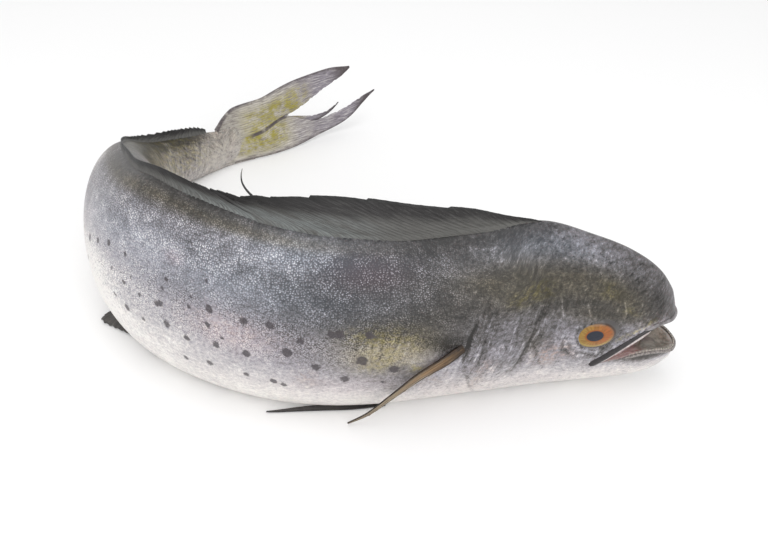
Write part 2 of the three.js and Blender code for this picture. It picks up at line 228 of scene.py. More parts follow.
def eye_distance(u, share):
    """Distance from the eye's centre, 1 at its visible rim."""
    return np.hypot((u - EYE_CENTRE[0]) / EYE_REACH[0], (share - EYE_CENTRE[1]) / EYE_REACH[1])


def head_relief(u, share):
    """The head's low folds, the hollow where the pectoral fin is set, and the ring round the eye."""
    relief = sum(height * stroke(u, share, path, width) for path, width, height in HEAD_FOLDS)
    relief = relief - .5 * blob(u, share, (.235, .5), (.014, .07))
    ring = eye_distance(u, share)
    return relief + .7 * ease(ring, 1.5, 1.1) * ease(ring, .7, 1)


def skin(section, angle, grow=0):
    """A point of the skin at an angle round a section, with its place along and its share of the height."""
    section, angle = np.broadcast_arrays(section, angle)
    across = np.cos(angle)
    share = (1 + np.sin(angle)) / 2
    u = bend_to_gill_edge(section, share)
    behind = np.maximum(u - 1, 0) * BODY_LENGTH
    top = value_at(BACK, u) + value_at(ROOT_RISE, behind)
    bottom = value_at(BELLY, u)
    sharpness = np.where(angle > 0, BACK_SHARPNESS, BELLY_SHARPNESS)
    narrowing = ROOT_NARROWING * ease((u - 1) * BODY_LENGTH, ROOT_START, ROOT_REACH)
    width = FACET_INSET * value_at(HALF_WIDTH, u) * (1 - narrowing)
    width = width + gill_cover(u, share) + head_relief(u, share) + grow
    out = width * np.sign(across) * np.abs(across) ** sharpness
    forward = JAW_REACH / BODY_LENGTH * (1 - ease(u, *JAW_ALONG)) * (1 - ease(share, *JAW_SHARE))
    up = (top + bottom) / 2 + ((top - bottom) / 2 + grow) * np.sin(angle)
    turned = behind * math.sin(TAIL_HEADING - math.radians(HEADING[-1][1]))
    out = out + tail_bend(behind, up) - tail_bend(0, up) - turned
    point = place(u - forward, out, up)
    point[..., 2] = np.maximum(point[..., 2], -np.maximum(grow, 0))
    return point, u, share


def hull(section, angle):
    """The skin with its rounded tips: ahead of the nose's start each section shrinks towards its middle."""
    section, angle = np.broadcast_arrays(section, angle)
    point, u, share = skin(np.maximum(section, NOSE_START), angle)
    ahead = np.clip((NOSE_START - section) * BODY_LENGTH / NOSE_REACH, 0, 1)[..., None]
    middle = place(NOSE_START, 0, (value_at(BACK, NOSE_START) + value_at(BELLY, NOSE_START)) / 2)
    forward = np.append(-midline_at(0)[1], 0)
    jaw = (JAW_REACH * (1 - ease(share, *JAW_SHARE)))[..., None] * forward
    point = middle + jaw + (point - middle - jaw) * np.sqrt(1 - ahead) + ahead * NOSE_REACH * forward
    return point, u - (1 - np.sqrt(1 - ahead[..., 0])) * NOSE_SPREAD / BODY_LENGTH, share


def own_height(point, u):
    """A point's height in the frame that leans with the fish."""
    middle, along = midline_at(u)
    away = point[..., :2] - middle
    beside = away[..., 1] * along[..., 0] - away[..., 0] * along[..., 1]
    tilt = np.radians(value_at(LEAN, np.clip(u, 0, 1)))
    return (point[..., 2] + SETTLE) * np.cos(tilt) - beside * np.sin(tilt)


def skin_at_height(section, height, side):
    """Where each section's skin passes a height, on the right flank (side 1) or the left (side -1)."""
    angle = np.radians(np.linspace(-90, 90, 241))
    flank = angle if side > 0 else np.pi - angle
    points, u, _ = hull(np.asarray(section)[:, None], flank[None, :])
    heights = own_height(points, u)
    rows = [[np.interp(level, row, point[:, k]) for k in range(3)]
            for level, row, point in zip(np.broadcast_to(height, len(points)), heights, points)]
    return np.array(rows)


# Meshes

def write_fields(mesh, fields):
    """Stores a number or a vector at each of a mesh's points, for its material to read."""
    for key, values in fields.items():
        values = np.asarray(values, np.float32)
        kind, property_name = ("FLOAT_VECTOR", "vector") if values.ndim == 2 else ("FLOAT", "value")
        mesh.attributes.new(key, kind, "POINT").data.foreach_set(property_name, values.ravel())


def mesh_object(name, points, faces, material, fields=None, smooth=True):
    """A mesh piece from points in millimetres."""
    mesh = bpy.data.meshes.new(name)
    mesh.from_pydata((np.asarray(points) * MM).tolist(), [], [tuple(int(i) for i in f) for f in faces])
    write_fields(mesh, fields or {})
    mesh.polygons.foreach_set("use_smooth", [smooth] * len(mesh.polygons))
    mesh.materials.append(material)
    mesh.validate()
    mesh.update()
    piece = bpy.data.objects.new(name, mesh)
    bpy.context.scene.collection.objects.link(piece)
    return piece


def dress(piece, slot, *nodes):
    """The piece rides on the fish and stands for solids. The slot is not used."""
    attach(piece, "root")
    if nodes:
        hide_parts(*nodes)
    return piece


def grid_faces(rows, columns, closed=False):
    """Quads between rows of points; closed joins each row's last point to its first."""
    count = columns if closed else columns - 1
    i = np.arange(rows - 1)[:, None]
    j = np.arange(count)[None, :]
    following = (j + 1) % columns
    a = i * columns + j
    b = i * columns + following
    return np.stack([a, b, b + columns, a + columns], -1).reshape(-1, 4)


def closed_loft(points):
    """Faces of rings of points, closed by a fan at either end, with the points flattened."""
    rows, columns = points.shape[:2]
    flat = points.reshape(-1, 3)
    faces = grid_faces(rows, columns, closed=True).tolist()
    extra = [points[0].mean(axis=0), points[-1].mean(axis=0)]
    for j in range(columns):
        following = (j + 1) % columns
        faces.append((len(flat), following, j))
        faces.append((len(flat) + 1, (rows - 1) * columns + j, (rows - 1) * columns + following))
    return np.vstack([flat, extra]), faces


def with_ends(rows, ends):
    """A field's rows, followed by its values at the two fans that close a loft."""
    return np.append(rows.ravel(), [ends[0, 0], ends[-1, 0]])


def face_out(piece):
    """Turns every face of a closed piece outwards."""
    work = bmesh.new()
    work.from_mesh(piece.data)
    bmesh.ops.recalc_face_normals(work, faces=work.faces)
    if work.calc_volume(signed=True) < 0:
        bmesh.ops.reverse_faces(work, faces=work.faces)
    work.to_mesh(piece.data)
    work.free()
    return piece


def unit(vectors):
    return vectors / np.maximum(np.linalg.norm(vectors, axis=-1, keepdims=True), 1e-9)


def sheet_object(name, middle, thickness, material, fields):
    """A thin closed sheet: a grid of middle points, moved to both sides by half the thickness there."""
    rows, columns = middle.shape[:2]
    along = np.gradient(middle, axis=0)
    across = np.gradient(middle, axis=1)
    normal = unit(np.cross(along, across))
    half = (np.broadcast_to(thickness, (rows, columns)) / 2)[..., None]
    points = np.concatenate([(middle + way * normal * half).reshape(-1, 3) for way in (1, -1)])
    front = grid_faces(rows, columns)
    count = rows * columns
    back = front[:, ::-1] + count
    rim = [(i, 0) for i in range(rows - 1)]
    rim += [(rows - 1, j) for j in range(columns - 1)]
    rim += [(i, columns - 1) for i in range(rows - 1, 0, -1)]
    rim += [(0, j) for j in range(columns - 1, 0, -1)]
    order = [i * columns + j for i, j in rim]
    edges = [(a, a + count, b + count, b) for a, b in zip(order, order[1:] + order[:1])]
    doubled = {}
    for key, values in fields.items():
        values = np.broadcast_to(values, (rows, columns, *np.shape(values)[2:]))
        doubled[key] = np.concatenate([values.reshape(count, *values.shape[2:])] * 2)
    piece = mesh_object(name, points, front.tolist() + back.tolist() + edges, material, doubled)
    return face_out(piece)


def tube_object(name, path, across, thick, material, outward=(0, 0, 1), sides=12, fields=None):
    """A closed cord along a path: across and thick are its half sizes along the skin and out of it."""
    tangent = unit(np.gradient(path, axis=0))
    sideways = unit(np.cross(np.broadcast_to(outward, path.shape), tangent))
    outwards = np.cross(tangent, sideways)
    turn = np.linspace(0, 2 * np.pi, sides, endpoint=False)[None, :, None]
    across = np.broadcast_to(across, len(path))[:, None, None]
    thick = np.broadcast_to(thick, len(path))[:, None, None]
    along_skin = across * np.cos(turn) * sideways[:, None]
    out_of_skin = thick * np.sin(turn) * outwards[:, None]
    points, faces = closed_loft(path[:, None] + along_skin + out_of_skin)
    spread = {}
    for key, row in (fields or {}).items():
        spread[key] = np.append(np.repeat(row, sides), [row[0], row[-1]])
    return face_out(mesh_object(name, points, faces, material, spread))


# Shader maths

class Wire:
    """A socket's value. Sums, differences and products with numbers or other wires add Math nodes."""

    def __init__(self, shader, socket):
        self.shader = shader
        self.socket = socket

    def _math(self, operation, a, b):
        return self.shader.node("ShaderNodeMath", {"operation": operation}, {0: a, 1: b})

    def __add__(self, other):
        return self._math("ADD", self, other)

    def __sub__(self, other):
        return self._math("SUBTRACT", self, other)

    def __rsub__(self, other):
        return self._math("SUBTRACT", other, self)

    def __mul__(self, other):
        return self._math("MULTIPLY", self, other)

    def ease(self, low, high):
        """From 0 to 1 as the value passes from low to high."""
        settings = {"interpolation_type": "SMOOTHSTEP"}
        return self.shader.node("ShaderNodeMapRange", settings, {0: self, 1: low, 2: high})

    __radd__ = __add__
    __rmul__ = __mul__


class Shader:
    """A material whose nodes are written as expressions."""

    def __init__(self, name):
        self.material = bpy.data.materials.new(name)
        self.material.use_nodes = True
        self.tree = self.material.node_tree
        self.surface = self.tree.nodes["Principled BSDF"]

    def node(self, kind, settings=None, inputs=None, output=0):
        made = self.tree.nodes.new(kind)
        for key, value in (settings or {}).items():
            setattr(made, key, value)
        for key, value in (inputs or {}).items():
            self.feed(made.inputs[key], value)
        return Wire(self, made.outputs[output])

    def feed(self, socket, value):
        if isinstance(value, Wire):
            self.tree.links.new(value.socket, socket)
        else:
            socket.default_value = value

    def set(self, **values):
        for key, value in values.items():
            self.feed(self.surface.inputs[key.replace("_", " ")], value)

    def attribute(self, name):
        return self.node("ShaderNodeAttribute", {"attribute_name": name}, output="Fac")

    def vector(self, name):
        return self.node("ShaderNodeAttribute", {"attribute_name": name}, output="Vector")

    def position(self):
        return self.node("ShaderNodeTexCoord", output="Object")

    def scaled(self, vector, factors):
        return self.node("ShaderNodeVectorMath", {"operation": "MULTIPLY"}, {0: vector, 1: factors})

    def noise(self, vector, scale, detail=3, roughness=.55):
        inputs = {"Vector": vector, "Scale": scale, "Detail": detail, "Roughness": roughness}
        return self.node("ShaderNodeTexNoise", {}, inputs)

    def cells(self, vector, scale, randomness, output="Distance"):
        settings = {"voronoi_dimensions": "2D"}
        inputs = {"Vector": vector, "Scale": scale, "Randomness": randomness}
        return self.node("ShaderNodeTexVoronoi", settings, inputs, output)

    def mix(self, share, a, b):
        return self.node("ShaderNodeMix", {"data_type": "RGBA"}, {0: share, 6: a, 7: b}, output=2)

    def ramp(self, value, stops):
        """Colours between stops, each a place from 0 to 1 and a colour."""
        made = self.node("ShaderNodeValToRGB", inputs={0: value}, output="Color")
        elements = made.socket.node.color_ramp.elements
        for place_at, shade in stops[1:-1]:
            elements.new(place_at).color = shade
        elements[0].position, elements[0].color = stops[0]
        elements[-1].position, elements[-1].color = stops[-1]
        return made

    def bump(self, height, distance, strength=1, over=None):
        inputs = {"Height": height, "Distance": distance, "Strength": strength}
        if over is not None:
            inputs["Normal"] = over
        return self.node("ShaderNodeBump", {}, inputs)


def colour(red, green, blue):
    """A colour given as the eye sees it, from 0 to 255, in the renderer's linear numbers."""
    def linear(value):
        share = value / 255
        return share / 12.92 if share <= .04045 else ((share + .055) / 1.055) ** 2.4
    return (linear(red), linear(green), linear(blue), 1)


# Materials

# The skin's greys from dark to light, and the dark and the light colour of each tint over them
SKIN_GREYS = [(.16, (38, 36, 35)), (.34, (82, 79, 79)), (.48, (118, 115, 120)),
              (.62, (156, 153, 161)), (.76, (196, 192, 193)), (.92, (242, 239, 235))]
SKIN_TINTS = {
    "bluish": ((84, 92, 104), (184, 194, 208)),
    "olive": ((50, 45, 31), (150, 138, 106)),
    "gold": ((84, 76, 30), (166, 154, 84)),
    "pink": ((104, 70, 80), (222, 192, 196)),
    "brown": ((84, 62, 48), (172, 138, 118)),
    "cream": ((118, 108, 100), (240, 234, 227)),
    "root": ((98, 93, 90), (200, 194, 186)),
}


def skin_material():
    """Wet scaled skin. The tone says how light it is; noises, pale dots and dark grains vary it."""
    s = Shader("wet_fish_skin")
    flat = s.vector("flat")
    broad = s.noise(flat, 30, 4, .6)
    middle = s.noise(flat, 110, 5, .68)
    fine = s.noise(flat, 520, 3, .75)
    streaks = s.noise(s.scaled(s.vector("slanted"), (1, .13, 1)), 420, 4, .7)
    film = s.noise(s.scaled(flat, (.8, 1, 1)), 300, 5, .8)
    scales = s.cells(flat, 900, .85)
    each_scale = s.cells(flat, 900, .85, output="Color")
    grains = s.cells(flat, 1100, .9)
    dotted, head, streaky = s.attribute("dots"), s.attribute("head"), s.attribute("streaky")

    tone = s.attribute("tone") + (broad - .5) * .3 + (middle - .5) * .46
    tone = tone + (fine - .5) * (.62 - dotted * .3)
    dots = (1 - scales.ease(.16, .36)) * (each_scale * .9 + .2)
    tone = tone + dots * dotted * (.1 + middle.ease(.35, .65) * .32)
    tone = tone - scales.ease(.3, .5) * dotted * .08
    tone = tone - grains.ease(.3, .5) * s.attribute("speckle") * middle.ease(.3, .6) * .22
    tone = tone + (film.ease(.54, .72) * .24 - film.ease(.47, .34) * .18) * head
    tone = tone + (streaks.ease(.53, .7) * .34 - streaks.ease(.47, .32) * .28) * streaky
    # Painted shade in the creases: darker along the head's grooves, behind the gill cover and round the eye
    tone = tone - s.attribute("fold_shade") * (.08 + streaks.ease(.6, .4) * .36)
    tone = tone + s.attribute("crack") * film.ease(.35, .6) * .3
    base = s.ramp(tone, [(at, colour(*grey)) for at, grey in SKIN_GREYS])

    lit = tone.ease(.2, .75)
    strengths = {
        "bluish": .5, "olive": .2 + broad * .9, "gold": film.ease(.4, .6) * .7, "pink": .38,
        "brown": film.ease(.42, .62) * .8, "cream": .2 + film * .6, "root": .3 + film * .8,
    }
    for name, strength in strengths.items():
        dark, light = SKIN_TINTS[name]
        tint = s.mix(lit, colour(*dark), colour(*light))
        base = s.mix(s.attribute(name) * strength, base, tint)
    rim = s.attribute("spot_distance") + (middle - .5) * .9 + (fine - .5) * .9
    base = s.mix(rim.ease(1.3, .75) * .85, base, colour(60, 54, 58))
    relief = s.bump(1 - scales, .0002, dotted * .7 + .1)
    relief = s.bump(film, .0005, .3, relief)
    s.set(Base_Color=base, Roughness=.3 + middle * .28, Normal=relief)
    s.set(Specular_IOR_Level=.35, Coat_Weight=.12, Coat_Roughness=.22, Subsurface_Weight=.03)
    return s.material


def flesh_material():
    """The mouth's lining: a grey-brown floor, pink flesh towards its corner, paler rims, and painted shade
    that darkens it deeper in.
    """
    s = Shader("mouth_flesh")
    spot = s.noise(s.position(), 300, 4, .65)
    base = s.mix(spot.ease(.35, .65), colour(98, 93, 82), colour(150, 143, 132))
    pink = s.mix(spot.ease(.3, .65), colour(184, 148, 148), colour(220, 204, 203))
    base = s.mix(s.attribute("fleshy") * .85, base, pink)
    base = s.mix(s.attribute("whiteness") * .75, base, colour(206, 200, 196))
    # Painted shade: the lining darkens deeper inside the mouth
    base = s.mix(s.attribute("throat_shade"), base, colour(84, 60, 58))
    s.set(Base_Color=base, Roughness=.4, Normal=s.bump(spot, .0004, .5))
    s.set(Coat_Weight=.12, Coat_Roughness=.2, Subsurface_Weight=.05)
    return s.material


def plain_wet(name, low, high, scale=300, coat=.3):
    """A wet surface whose colour wanders between two tones."""
    s = Shader(name)
    wander = s.noise(s.position(), scale, 4, .6)
    s.set(Base_Color=s.mix(wander.ease(.3, .7), colour(*low), colour(*high)), Roughness=.35)
    s.set(Normal=s.bump(wander, .0003, .5), Coat_Weight=coat, Coat_Roughness=.15)
    return s.material


def eye_material():
    """Golden iris, more orange towards one side, round a blue-black pupil, with a dark rim."""
    s = Shader("golden_eye")
    radius, pupil = s.attribute("radius"), s.attribute("pupil")
    threads = s.noise(s.scaled(s.vector("dial"), (1, 1, .3)), 9, 4, .6)
    iris = s.mix(s.attribute("warm"), colour(150, 120, 52), colour(160, 86, 36))
    iris = s.mix(threads.ease(.4, .62) * .65, iris, colour(112, 70, 26))
    iris = s.mix(radius.ease(.46, .6) * s.attribute("lower") * .75, iris, colour(160, 142, 66))
    iris = s.mix(radius.ease(.54, .66) * .5, iris, colour(126, 96, 66))
    base = s.mix(1 - pupil.ease(1, 1.3), iris, colour(140, 76, 22))
    base = s.mix(1 - pupil.ease(.93, 1.03), base, colour(24, 30, 44))
    base = s.mix(radius.ease(.63, .7) * .9, base, colour(52, 46, 44))
    base = s.mix(radius.ease(.72, .77), base, colour(80, 77, 76))
    s.set(Base_Color=base, Roughness=.15)
    s.set(Coat_Weight=.3, Coat_Roughness=.05, Specular_IOR_Level=.3)
    return s.material


# The tones of each fin's membrane, and how strong its pale and its dark streaks are
FIN_TONES = {
    "brown_fin_membrane": {
        "root": (100, 74, 50), "tip": (162, 149, 130), "ray": (96, 72, 50), "pale": (182, 164, 136),
        "dark": (44, 34, 27), "patch": (148, 116, 76),
    },
    "black_fin_membrane": {
        "root": (72, 70, 69), "tip": (86, 84, 83), "ray": (48, 46, 46), "pale": (116, 113, 110),
        "dark": (38, 36, 36), "patch": (84, 82, 80),
    },
    "back_fin_membrane": {
        "root": (92, 91, 88), "tip": (40, 38, 38), "ray": (30, 29, 29), "pale": (96, 95, 94),
        # The back fin's patch tone: a paler grey-green, partly a painted sheen
        "dark": (26, 26, 26), "patch": (122, 126, 125),
    },
    "dark_fin_membrane": {
        "root": (104, 102, 98), "tip": (80, 78, 76), "ray": (56, 54, 52), "pale": (124, 120, 116),
        "dark": (40, 38, 38), "patch": (84, 82, 80),
    },
    "tail_membrane": {
        "root": (200, 194, 182), "tip": (148, 142, 152), "ray": (112, 106, 108), "pale": (222, 217, 214),
        "dark": (88, 80, 82), "patch": (166, 156, 54),
    },
}
FIN_STREAKS = {
    "brown_fin_membrane": (.5, .5),
    "black_fin_membrane": (.3, .5),
    "back_fin_membrane": (.35, .35),
    "dark_fin_membrane": (.4, .5),
    "tail_membrane": (.7, .62),
}


def fin_material(name):
    """A fin's membrane: root and tip tones, a patch of another, dark rays, and streaks along them."""
    s = Shader(name)
    tones = {key: colour(*tone) for key, tone in FIN_TONES[name].items()}
    pale_streaks, dark_streaks = FIN_STREAKS[name]
    flat = s.vector("flat")
    wander = s.noise(flat, 75, 4, .6)
    streaks = s.noise(s.scaled(flat, (.11, 1, 1)), 900, 4, .72)
    mottled = s.noise(flat, 260, 4, .7)
    outwards = (s.attribute("share") + (wander - .5) * .5).ease(.25, .75)
    patchy = (streaks * .5 + mottled * .5 + wander * .6).ease(.64, .92)
    base = s.mix(outwards, tones["root"], tones["tip"])
    base = s.mix(streaks.ease(.5, .64) * pale_streaks, base, tones["pale"])
    base = s.mix(s.attribute("patch") * patchy, base, tones["patch"])
    base = s.mix(streaks.ease(.5, .38) * dark_streaks * (.4 + mottled), base, tones["dark"])
    base = s.mix(s.attribute("ray") * (.35 + wander * .5), base, tones["ray"])
    base = s.mix(s.attribute("edge") * (mottled * .8 + wander).ease(.5, 1), base, tones["dark"])
    s.set(Base_Color=base, Roughness=.4 + wander * .25, Normal=s.bump(streaks, .0005, .5))
    s.set(Coat_Weight=.12, Coat_Roughness=.25, Specular_IOR_Level=.35)
    return s.material


# Body

# Short pale scratches of the forehead: place, and the shares of the height at both ends
SCRATCHES = [(.059, .66, .72), (.098, .62, .68), (.126, .6, .69)]
# Dark spots of the right flank: place along the body, share of the height, and half width in millimetres
SPOTS = [
    (.3735, .483, 2.5), (.3515, .413, 2), (.328, .338, 2.1), (.3135, .462, 2.6), (.331, .607, 2.3),
    (.337, .603, 2), (.3865, .615, 2.4), (.4085, .606, 2), (.44, .614, 2), (.362, .556, 1.7),
    (.442, .532, 1.5), (.4285, .486, 1.1), (.4075, .433, 2), (.435, .433, 2), (.4645, .412, 1.8),
    (.485, .447, 2), (.4905, .545, 1.7), (.495, .536, 1.7), (.515, .532, 1.2), (.536, .548, 1.5),
    (.534, .415, 1.7), (.5135, .402, 1.4), (.46, .592, 1.2), (.458, .64, 1), (.489, .621, 1.2),
    (.485, .672, 1.2), (.527, .598, 1.1), (.5535, .58, 1.2), (.537, .688, 1.4), (.564, .69, 1.7),
    (.586, .655, 1.6), (.388, .279, 1.8), (.4115, .289, 1.6), (.3795, .262, 1.6), (.4455, .295, 1.8),
    (.472, .267, 1.5), (.286, .395, 2.4), (.296, .305, 1.1), (.307, .605, 1.9), (.444, .735, 1.1),
    (.55, .445, 1.3),
]
SEED = 7
# The scatter's first place and number of spots on the right flank and the left
RIGHT_SCATTER = (.61, 16)
LEFT_SCATTER = (.27, 52)


def flank_spots(side):
    """The right flank's spots, then others like them where the photograph shows none, in a fixed scatter."""
    draw = np.random.default_rng(SEED + (side < 0))
    start, count = RIGHT_SCATTER if side > 0 else LEFT_SCATTER
    spots = list(SPOTS) if side > 0 else []
    for _ in range(count):
        spots.append((draw.uniform(start, .88), draw.uniform(.22, .7), draw.uniform(1, 2.4)))
    return spots


def spot_distance(u, share, side):
    """Distance to the nearest spot's centre, 1 at its rim."""
    nearest = np.full(np.shape(u), 3.)
    for hand in (1, -1):
        off_side = 3 * ease(side * hand, .1, -.1)
        for at, height, half in flank_spots(hand):
            distance = np.hypot((u - at) * BODY_LENGTH, (share - height) * FLANK_HEIGHT * .9) / half
            nearest = np.minimum(nearest, distance + off_side)
    return nearest


# How light the skin is at each share of the height: on the head and front, from the middle on, and on
# the left side of the stalk
FRONT_TONE = [(0, .88), (.1, .81), (.2, .7), (.3, .58), (.4, .5), (.5, .45), (.6, .39), (.7, .3), (.8, .28),
              (.9, .33), (1, .38)]
REAR_TONE = [(0, .85), (.2, .84), (.38, .8), (.55, .72), (.7, .6), (.82, .52), (.91, .45), (.97, .3),
             (1, .24)]
INNER_STALK_TONE = [(0, .79), (.3, .67), (.6, .58), (.82, .47), (.92, .24), (1, .16)]

# Lighter and darker patches, among them painted shade and a painted sheen noted below: place, share of the
# height, reach along and up, and how much lighter
SHADES = [
    (.085, .65, .03, .05, -.12), (.12, .47, .012, .06, .08), (.045, .56, .02, .06, .1),
    (.11, .4, .012, .05, .06), (.18, .45, .02, .12, .02), (.15, .5, .02, .1, -.08),
    # The three patches on the next line darken the hollow where the pectoral fin is set: painted shade
    (.238, .515, .022, .045, -.3), (.25, .555, .012, .05, -.08), (.262, .56, .012, .03, -.06),
    (.234, .3, .018, .1, .1), (.262, .52, .03, .1, .14), (.405, .5, .04, .08, .08),
    (.47, .99, .06, .03, -.08), (.535, .42, .07, .12, -.07), (.19, .26, .03, .08, -.06),
    (.22, .99, .1, .06, -.18), (.345, .965, .04, .035, .12), (.305, .89, .03, .06, -.16),
    (.77, .88, .05, .1, .14), (.6, .5, .07, .25, .26), (.41, .9, .05, .07, .14),
    # The first patch on the next line lightens the top of the head: painted sheen
    (.12, .95, .05, .06, .1), (.25, .4, .02, .07, .12), (.3, .5, .035, .08, .17),
    (.03, .315, .03, .045, -.34), (.055, .3, .02, .03, -.12), (.88, .97, .12, .05, -.1),
    (.25, .2, .05, .12, -.1), (.18, .1, .06, .1, -.08),
]
# Where the skin's tints and patterns are, by name, in the same terms, with their strength
TINTS = {
    "olive": [
        (.085, .79, .035, .08, .9), (.13, .76, .04, .09, .9), (.175, .76, .035, .09, .9),
        (.05, .72, .025, .1, .7), (.09, .63, .04, .05, .7), (.265, .55, .03, .12, .8),
        (.3, .5, .035, .12, 1), (.235, .7, .03, .08, .4), (.42, .965, .12, .02, .8),
        (.6, .96, .12, .03, .7), (.2, .82, .05, .06, .5), (.155, .45, .01, .1, .4),
    ],
    "gold": [
        (.15, .74, .014, .05, .9), (.172, .7, .012, .035, .7), (.078, .77, .01, .05, .6),
        (.055, .68, .01, .03, .6), (.285, .56, .025, .08, .8), (.3, .43, .02, .06, .7),
        (.265, .38, .008, .04, 1), (.31, .6, .02, .05, .6), (1.042, .35, .014, .3, 1),
    ],
    "bluish": [
        (.344, .93, .07, .07, .8), (.14, .93, .06, .06, .7), (.4, .76, .12, .14, .7),
        (.57, .8, .08, .12, .4),
    ],
    "pink": [
        (.305, .88, .035, .07, .5), (.42, .52, .04, .1, .5), (.33, .27, .05, .07, .4),
        (.15, .15, .1, .06, .3), (.225, .15, .03, .08, .35), (.48, .78, .01, .03, .5),
        (.72, .5, .08, .25, .3),
    ],
    "brown": [
        (.139, .35, .012, .08, .9), (.12, .37, .012, .06, .6), (.207, .2, .006, .1, .8),
        (.2, .33, .012, .06, .5), (.25, .28, .02, .05, .4), (.36, .33, .01, .06, .5),
        (.42, .54, .05, .08, .3),
    ],
    "streaky": [
        (.16, .5, .035, .22, .7), (.2, .42, .02, .2, .75), (.23, .45, .02, .12, .5),
        (.1, .68, .05, .06, .5), (.25, .28, .03, .12, .6), (.29, .52, .035, .1, .7),
    ],
    "film": [
        (.2, .9, .1, .06, 1), (.1, .92, .06, .05, .7), (.25, .72, .06, .14, .7),
    ],
    "cream": [
        (.05, .1, .08, .2, .8), (.2, .12, .09, .16, .9), (.35, .1, .1, .2, .8), (.5, .1, .15, .25, .45),
        (.75, .2, .2, .25, .4), (.77, .9, .05, .12, .8),
    ],
}


def gather(u, share, rows):
    """The sum of a table's patches at each point of the skin."""
    total = np.zeros_like(u)
    for at, height, along, up, strength in rows:
        total += strength * blob(u, share, (at, height), (along, up))
    return total


def skin_fields(u, share, side):
    """How light each point of the skin is, and how strongly each tint and pattern shows there."""
    inner = ease(u, .69, .8) * ease(-side, -.3, .3)
    tone = lerp(value_at(FRONT_TONE, share), value_at(REAR_TONE, share), ease(u, .27, .5))
    tone = lerp(tone, value_at(INNER_STALK_TONE, share), inner)
    tone = tone + gather(u, share, SHADES) * (1 - inner)
    tone = lerp(tone, .66 - .18 * ease(share, .3, .8), ease(u, .95, 1.005))
    tone = tone - .2 * inner * blob(u, share, (.78, .85), (.05, .2))
    tints = {name: np.clip(gather(u, share, rows), 0, 1) * (1 - inner) for name, rows in TINTS.items()}
    tints["olive"] = np.clip(tints["olive"] + inner * .35, 0, 1)
    gold_streak = stroke(u, share, LIP_STREAK, 1.8)
    tints["gold"] = np.clip(tints["gold"] + .7 * inner * ease(share, .15, .6) + gold_streak, 0, 1)
    tints["streaky"] = np.clip(tints["streaky"] + .7 * inner * (1 - ease(u, .96, 1)), 0, 1)
    film = tints.pop("film")

    behind_gill = u - value_at(GILL_EDGE, share)
    edge = span(behind_gill, .0005, .0035, .0022) * (1 - ease(share, .62, .74))
    ring = eye_distance(u, share)
    # Painted shade in the creases: behind the gill cover's edge, along the cheek's and cover's grooves, under
    # the eye and round its rim
    folds = [
        edge * (.35 + .65 * span(share, .4, .6, .1)),
        .5 * stroke(u, share, CHEEK_FOLD, 2.4) * ease(share, .16, .4),
        .45 * stroke(u, share, CHEEK_BRANCH, 1.8),
        .3 * stroke(u, share, COVER_GROOVE, 4),
        .6 * stroke(u, share, UNDER_EYE, 5) * ease(ring, .9, 1.1),
        .8 * span(ring, .9, 1.05, .05),
    ]
    cracks = stroke(u, share, UNDER_EYE, 1.6) + .8 * span(ring, 1.2, 1.32, .06) * ease(share, .5, .38)
    cracks = cracks + stroke(u, share, LIP_RIDGE, 2.4) * .7
    for at, low, high in SCRATCHES:
        cracks = cracks + .9 * stroke(u, share, [(at, low), (at + .003, high)], .9)
    dots = span(u, .21, .9, .07) * span(share, .62, .97 + .1 * ease(u, .66, .76), .08)
    speckle = span(u, .22, .66, .07) * (.25 + .75 * ease(share, .36, .5)) * span(share, .2, .7, .09)
    return {
        "tone": tone,
        **tints,
        "dots": dots * (1 - .6 * inner) * lerp(.6, 1, ease(share, .68, .84)),
        "speckle": speckle,
        "head": np.maximum(.85 - .85 * ease(u, .2, .27), .35 + .75 * inner) + film * .5,
        "fold_shade": np.clip(np.max(folds, axis=0), 0, 1),
        "crack": np.clip(cracks, 0, 1),
        "root": ease(u, .94, .99),
        "spot_distance": spot_distance(u, share, side),
    }


def make_cutter(name, rings, material):
    """A closed loft that is taken away from another mesh."""
    points, faces = closed_loft(rings)
    return face_out(mesh_object(name, points, faces, material))


# The mouth's opening is scooped below and arched above, and its corners close with flesh
SCOOP = 3.2
ARCH = 3
LIP_SHARE = .8
SCOOP_START = -.007
THROAT_START = .034
THROAT_FULL = .062
THROAT_INSET = 11
TIP_REACH = .024
# The cutter of the mouth reaches this far past either flank
MOUTH_OVERHANG = 8


def mouth_rings(steps, width_steps):
    """Slices of the open mouth from side to side, between the arched palate and the scooped jaw."""
    u = np.linspace(MOUTH_START, MOUTH_CORNER, steps)[:, None]
    reach = value_at(HALF_WIDTH, np.maximum(u, 0))
    tip = np.sqrt(np.clip((u - SCOOP_START) / TIP_REACH, .001, 1))
    out = (reach + MOUTH_OVERHANG) * np.linspace(-1, 1, width_steps)[None, :]
    bowl = np.maximum(0, 1 - (out / (reach * LIP_SHARE * tip)) ** 2)
    bowl = bowl * (1 - ease(u, .05, .08)) * ease(u, SCOOP_START, .012)
    u = np.broadcast_to(u, out.shape)
    above = place(u, out, value_at(UPPER_LIP, u) + ARCH * bowl)
    below = place(u, out, value_at(LOWER_RIM, u) - SCOOP * bowl)
    return np.concatenate([above, below[:, ::-1]], axis=1)


def cut(piece, cutter):
    """Takes the cutter's form away from the piece and gives the new faces the cutter's material."""
    step = piece.modifiers.new("cut", "BOOLEAN")
    step.operation = "DIFFERENCE"
    step.object = cutter
    step.solver = "EXACT"
    step.material_mode = "TRANSFER"
    bpy.context.view_layer.update()
    shaped = bpy.data.meshes.new_from_object(piece.evaluated_get(bpy.context.evaluated_depsgraph_get()))
    piece.modifiers.clear()
    piece.data = shaped


